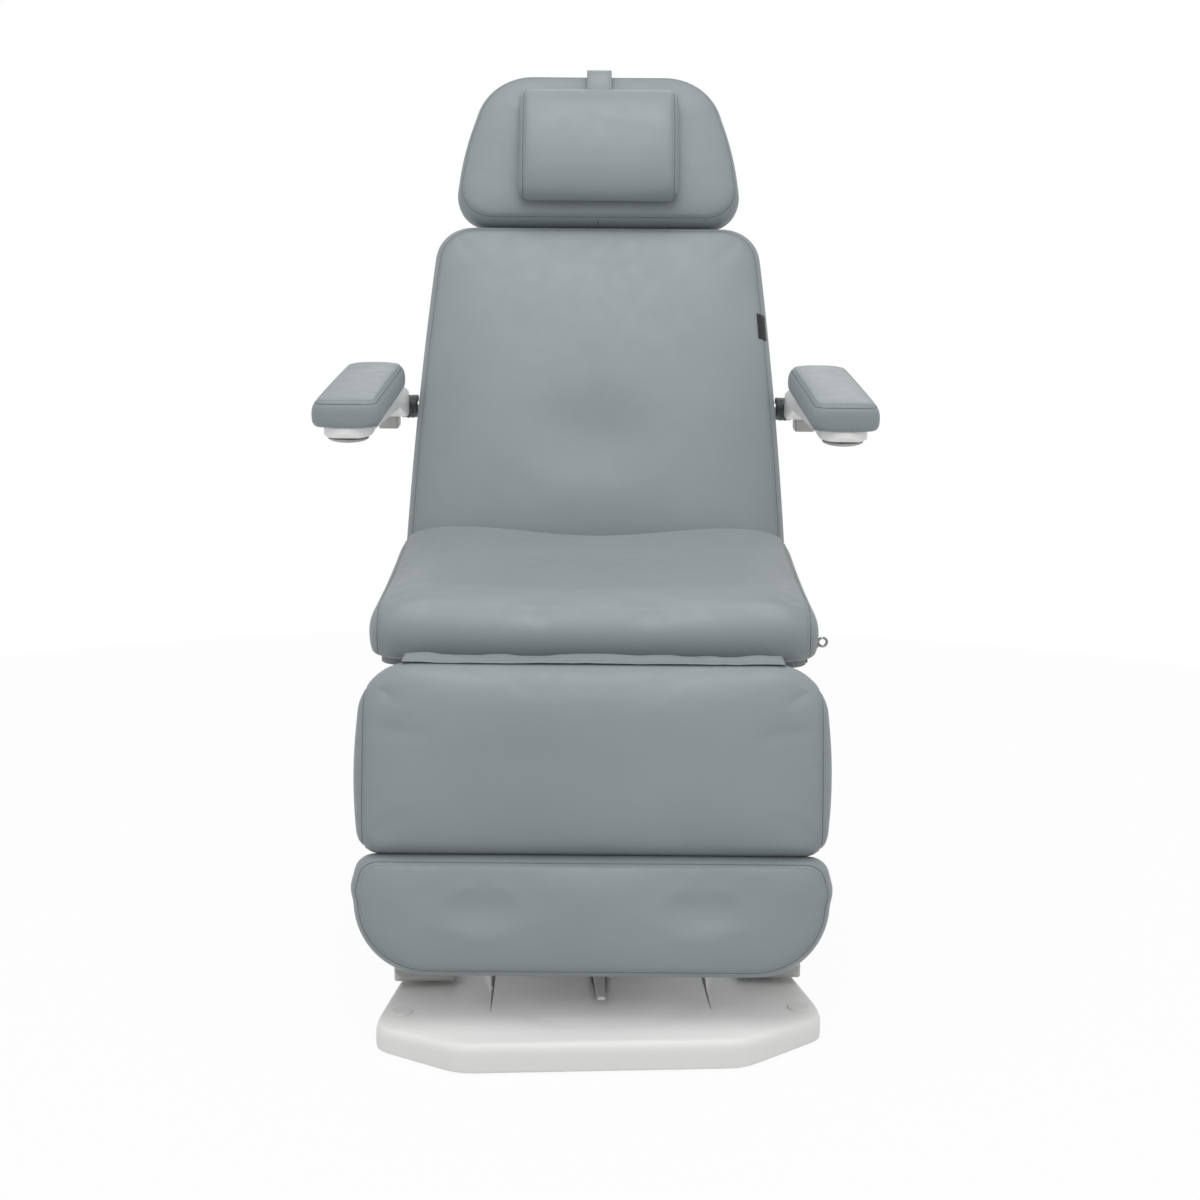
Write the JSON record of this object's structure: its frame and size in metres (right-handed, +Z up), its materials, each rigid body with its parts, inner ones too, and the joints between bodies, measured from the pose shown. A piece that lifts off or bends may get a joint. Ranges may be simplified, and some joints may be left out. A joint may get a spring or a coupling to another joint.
{
  "type": "procedure chair",
  "caption": "Powered procedure chair with a swivelling low base, lifting column, tilting seat, reclining back, headrest, flip-up armrests and a folding leg rest with sliding footrest.",
  "frame": {"origin": "centre of the chair's box on the floor, at rest", "axes": "+Z up, the sitter faces -Y, +X to the right of someone who looks at the chair's front"},
  "size_m": [0.785, 1.1688, 1.3053],
  "materials": {
    "frame_steel": "satin powder coat",
    "feet_rubber": "matte",
    "white_plastic": "semi-gloss moulding",
    "black_plastic": "matte",
    "grey_plastic": "matte",
    "bearing_steel": "brushed",
    "pedal_plastic": "matte",
    "column_aluminium": "satin anodised",
    "bright_steel": "polished",
    "plywood": "birch plywood",
    "upholstery": "fine-grained coated cloth, semi-matte",
    "dark_upholstery": "fine-grained coated cloth, semi-matte",
    "bracket_plastic": "matte"
  },
  "bodies": {
    "base": {"base_spine": "frame_steel", "base_crossbeams": "frame_steel", "levelling_feet": "feet_rubber", "base_cover": "white_plastic", "cover_caps": "white_plastic", "mains_inlet": "black_plastic", "control_box": "grey_plastic", "bearing_lower_ring": "bearing_steel"},
    "lock_lever": {"lock_lever": "pedal_plastic"},
    "pedal_left": {"pedal_left": "pedal_plastic"},
    "pedal_right": {"pedal_right": "pedal_plastic"},
    "turntable": {"bearing_upper_ring": "bearing_steel", "turntable_plate": "frame_steel", "turntable_cover": "white_plastic", "column_outer": "column_aluminium"},
    "column_middle": {"column_middle": "column_aluminium"},
    "lift_head": {"column_inner": "column_aluminium", "lift_head": "frame_steel", "tilt_actuator": "grey_plastic"},
    "tilt_rod": {"tilt_actuator_rod": "bright_steel"},
    "seat": {"seat_pan": "frame_steel", "seat_board": "plywood", "seat_cushion": "upholstery", "accessory_ring": "bright_steel", "tilt_pin": "bearing_steel", "recline_pins": "bearing_steel", "leg_pins": "bearing_steel", "actuator_pins": "bearing_steel", "gap_flap": "upholstery"},
    "leg_actuator": {"leg_actuator": "grey_plastic"},
    "leg_rod": {"leg_actuator_rod": "bright_steel"},
    "back_actuator": {"back_actuator": "grey_plastic"},
    "back_rod": {"back_actuator_rod": "bright_steel"},
    "backrest": {"back_pan": "frame_steel", "back_board": "plywood", "back_cushion": "upholstery", "arm_stubs": "bearing_steel", "arm_sleeves": "dark_upholstery"},
    "headrest": {"head_rods": "bright_steel", "head_bracket": "frame_steel", "head_board": "plywood", "head_cushion": "upholstery", "neck_pillow": "upholstery", "pillow_strap": "upholstery"},
    "legrest": {"leg_frame": "frame_steel", "leg_board": "plywood", "leg_cushion": "upholstery"},
    "footrest": {"foot_frame": "frame_steel", "foot_rods": "bright_steel", "foot_board": "plywood", "foot_cushion": "upholstery"},
    "arm_bracket_left": {"arm_hub_left": "bracket_plastic"},
    "arm_bracket_right": {"arm_hub_right": "bracket_plastic"},
    "armrest_left": {"arm_shell_left": "white_plastic", "arm_pad_left": "upholstery", "arm_cap_left": "grey_plastic"},
    "armrest_right": {"arm_shell_right": "white_plastic", "arm_pad_right": "upholstery", "arm_cap_right": "grey_plastic"}
  },
  "joints": [
    {"name": "base_swivel", "type": "hinge", "parent": "base", "child": "turntable", "pos_m": [0, -0.161, 0.06], "axis": [0, 0, 1], "range_deg": [-120, 120]},
    {"name": "column_lift", "type": "slide", "parent": "turntable", "child": "lift_head", "axis": [0, 0, 1], "range_m": [0, 0.3]},
    {"name": "column_middle_lift", "type": "slide", "parent": "turntable", "child": "column_middle", "axis": [0, 0, 1], "range_m": [0, 0.15]},
    {"name": "seat_tilt", "type": "hinge", "parent": "lift_head", "child": "seat", "pos_m": [0, -0.101, 0.418], "axis": [-1, 0, 0], "range_deg": [0, 15]},
    {"name": "tilt_rod_slide", "type": "slide", "parent": "lift_head", "child": "tilt_rod", "axis": [0, 0, 1], "range_m": [0, 0.0442]},
    {"name": "backrest_recline", "type": "hinge", "parent": "seat", "child": "backrest", "pos_m": [0, 0.231, 0.47], "axis": [-1, 0, 0], "range_deg": [-6, 65]},
    {"name": "legrest_lift", "type": "hinge", "parent": "seat", "child": "legrest", "pos_m": [0, -0.349, 0.482], "axis": [-1, 0, 0], "range_deg": [0, 76], "deforming": ["gap_flap"]},
    {"name": "footrest_extend", "type": "slide", "parent": "legrest", "child": "footrest", "axis": [0, -0.2419, -0.9703], "range_m": [0, 0.12]},
    {"name": "headrest_slide", "type": "slide", "parent": "backrest", "child": "headrest", "axis": [0, 0.4226, 0.9063], "range_m": [0, 0.1]},
    {"name": "leg_actuator_swing", "type": "hinge", "parent": "seat", "child": "leg_actuator", "pos_m": [-0.14, 0.004, 0.42], "axis": [-1, 0, 0], "range_deg": [-1, 11]},
    {"name": "leg_rod_slide", "type": "slide", "parent": "leg_actuator", "child": "leg_rod", "axis": [0, -0.9921, -0.1257], "range_m": [0, 0.108]},
    {"name": "back_actuator_swing", "type": "hinge", "parent": "seat", "child": "back_actuator", "pos_m": [0.14, -0.261, 0.42], "axis": [-1, 0, 0], "range_deg": [-5, 1]},
    {"name": "back_rod_slide", "type": "slide", "parent": "back_actuator", "child": "back_rod", "axis": [0, 0.9961, -0.088], "range_m": [-0.1, 0.01]},
    {"name": "arm_level_left", "type": "hinge", "parent": "backrest", "child": "arm_bracket_left", "pos_m": [-0.348, 0.36201, 0.75096], "axis": [-1, 0, 0], "range_deg": [-60, 6]},
    {"name": "arm_level_right", "type": "hinge", "parent": "backrest", "child": "arm_bracket_right", "pos_m": [0.348, 0.36201, 0.75096], "axis": [-1, 0, 0], "range_deg": [-60, 6]},
    {"name": "armrest_left_flip", "type": "hinge", "parent": "arm_bracket_left", "child": "armrest_left", "pos_m": [-0.372, 0.36201, 0.75096], "axis": [-1, 0, 0], "range_deg": [0, 110]},
    {"name": "armrest_right_flip", "type": "hinge", "parent": "arm_bracket_right", "child": "armrest_right", "pos_m": [0.372, 0.36201, 0.75096], "axis": [-1, 0, 0], "range_deg": [0, 110]},
    {"name": "lock_lever_press", "type": "hinge", "parent": "base", "child": "lock_lever", "pos_m": [0.0072, -0.32584, 0.052], "axis": [0.999, 0.0436, 0], "range_deg": [0, 1.6], "stiffness_Nm_per_rad": 20, "springref_deg": -2.86},
    {"name": "pedal_left_press", "type": "hinge", "parent": "base", "child": "pedal_left", "pos_m": [-0.23166, -0.35729, 0.053], "axis": [0.999, 0.0436, 0], "range_deg": [0, 5], "stiffness_Nm_per_rad": 6, "springref_deg": -3.44},
    {"name": "pedal_right_press", "type": "hinge", "parent": "base", "child": "pedal_right", "pos_m": [0.24788, -0.33635, 0.053], "axis": [0.999, 0.0436, 0], "range_deg": [0, 5], "stiffness_Nm_per_rad": 6, "springref_deg": -3.44}
  ],
  "couplings": [
    {"joint": "column_middle_lift", "follows": "column_lift", "ratio": 0.5},
    {"joint": "tilt_rod_slide", "follows": "seat_tilt", "m_per_rad": 0.16819},
    {"joint": "arm_level_left", "follows": "backrest_recline", "ratio": -0.9},
    {"joint": "arm_level_right", "follows": "backrest_recline", "ratio": -0.9},
    {"joint": "footrest_extend", "follows": "legrest_lift", "m_per_rad": 0.0904},
    {"joint": "leg_actuator_swing", "follows": "legrest_lift", "ratio": 0.13991},
    {"joint": "leg_rod_slide", "follows": "legrest_lift", "m_per_rad": 0.08129},
    {"joint": "back_actuator_swing", "follows": "backrest_recline", "ratio": -0.045},
    {"joint": "back_rod_slide", "follows": "backrest_recline", "m_per_rad": -0.08772}
  ]
}
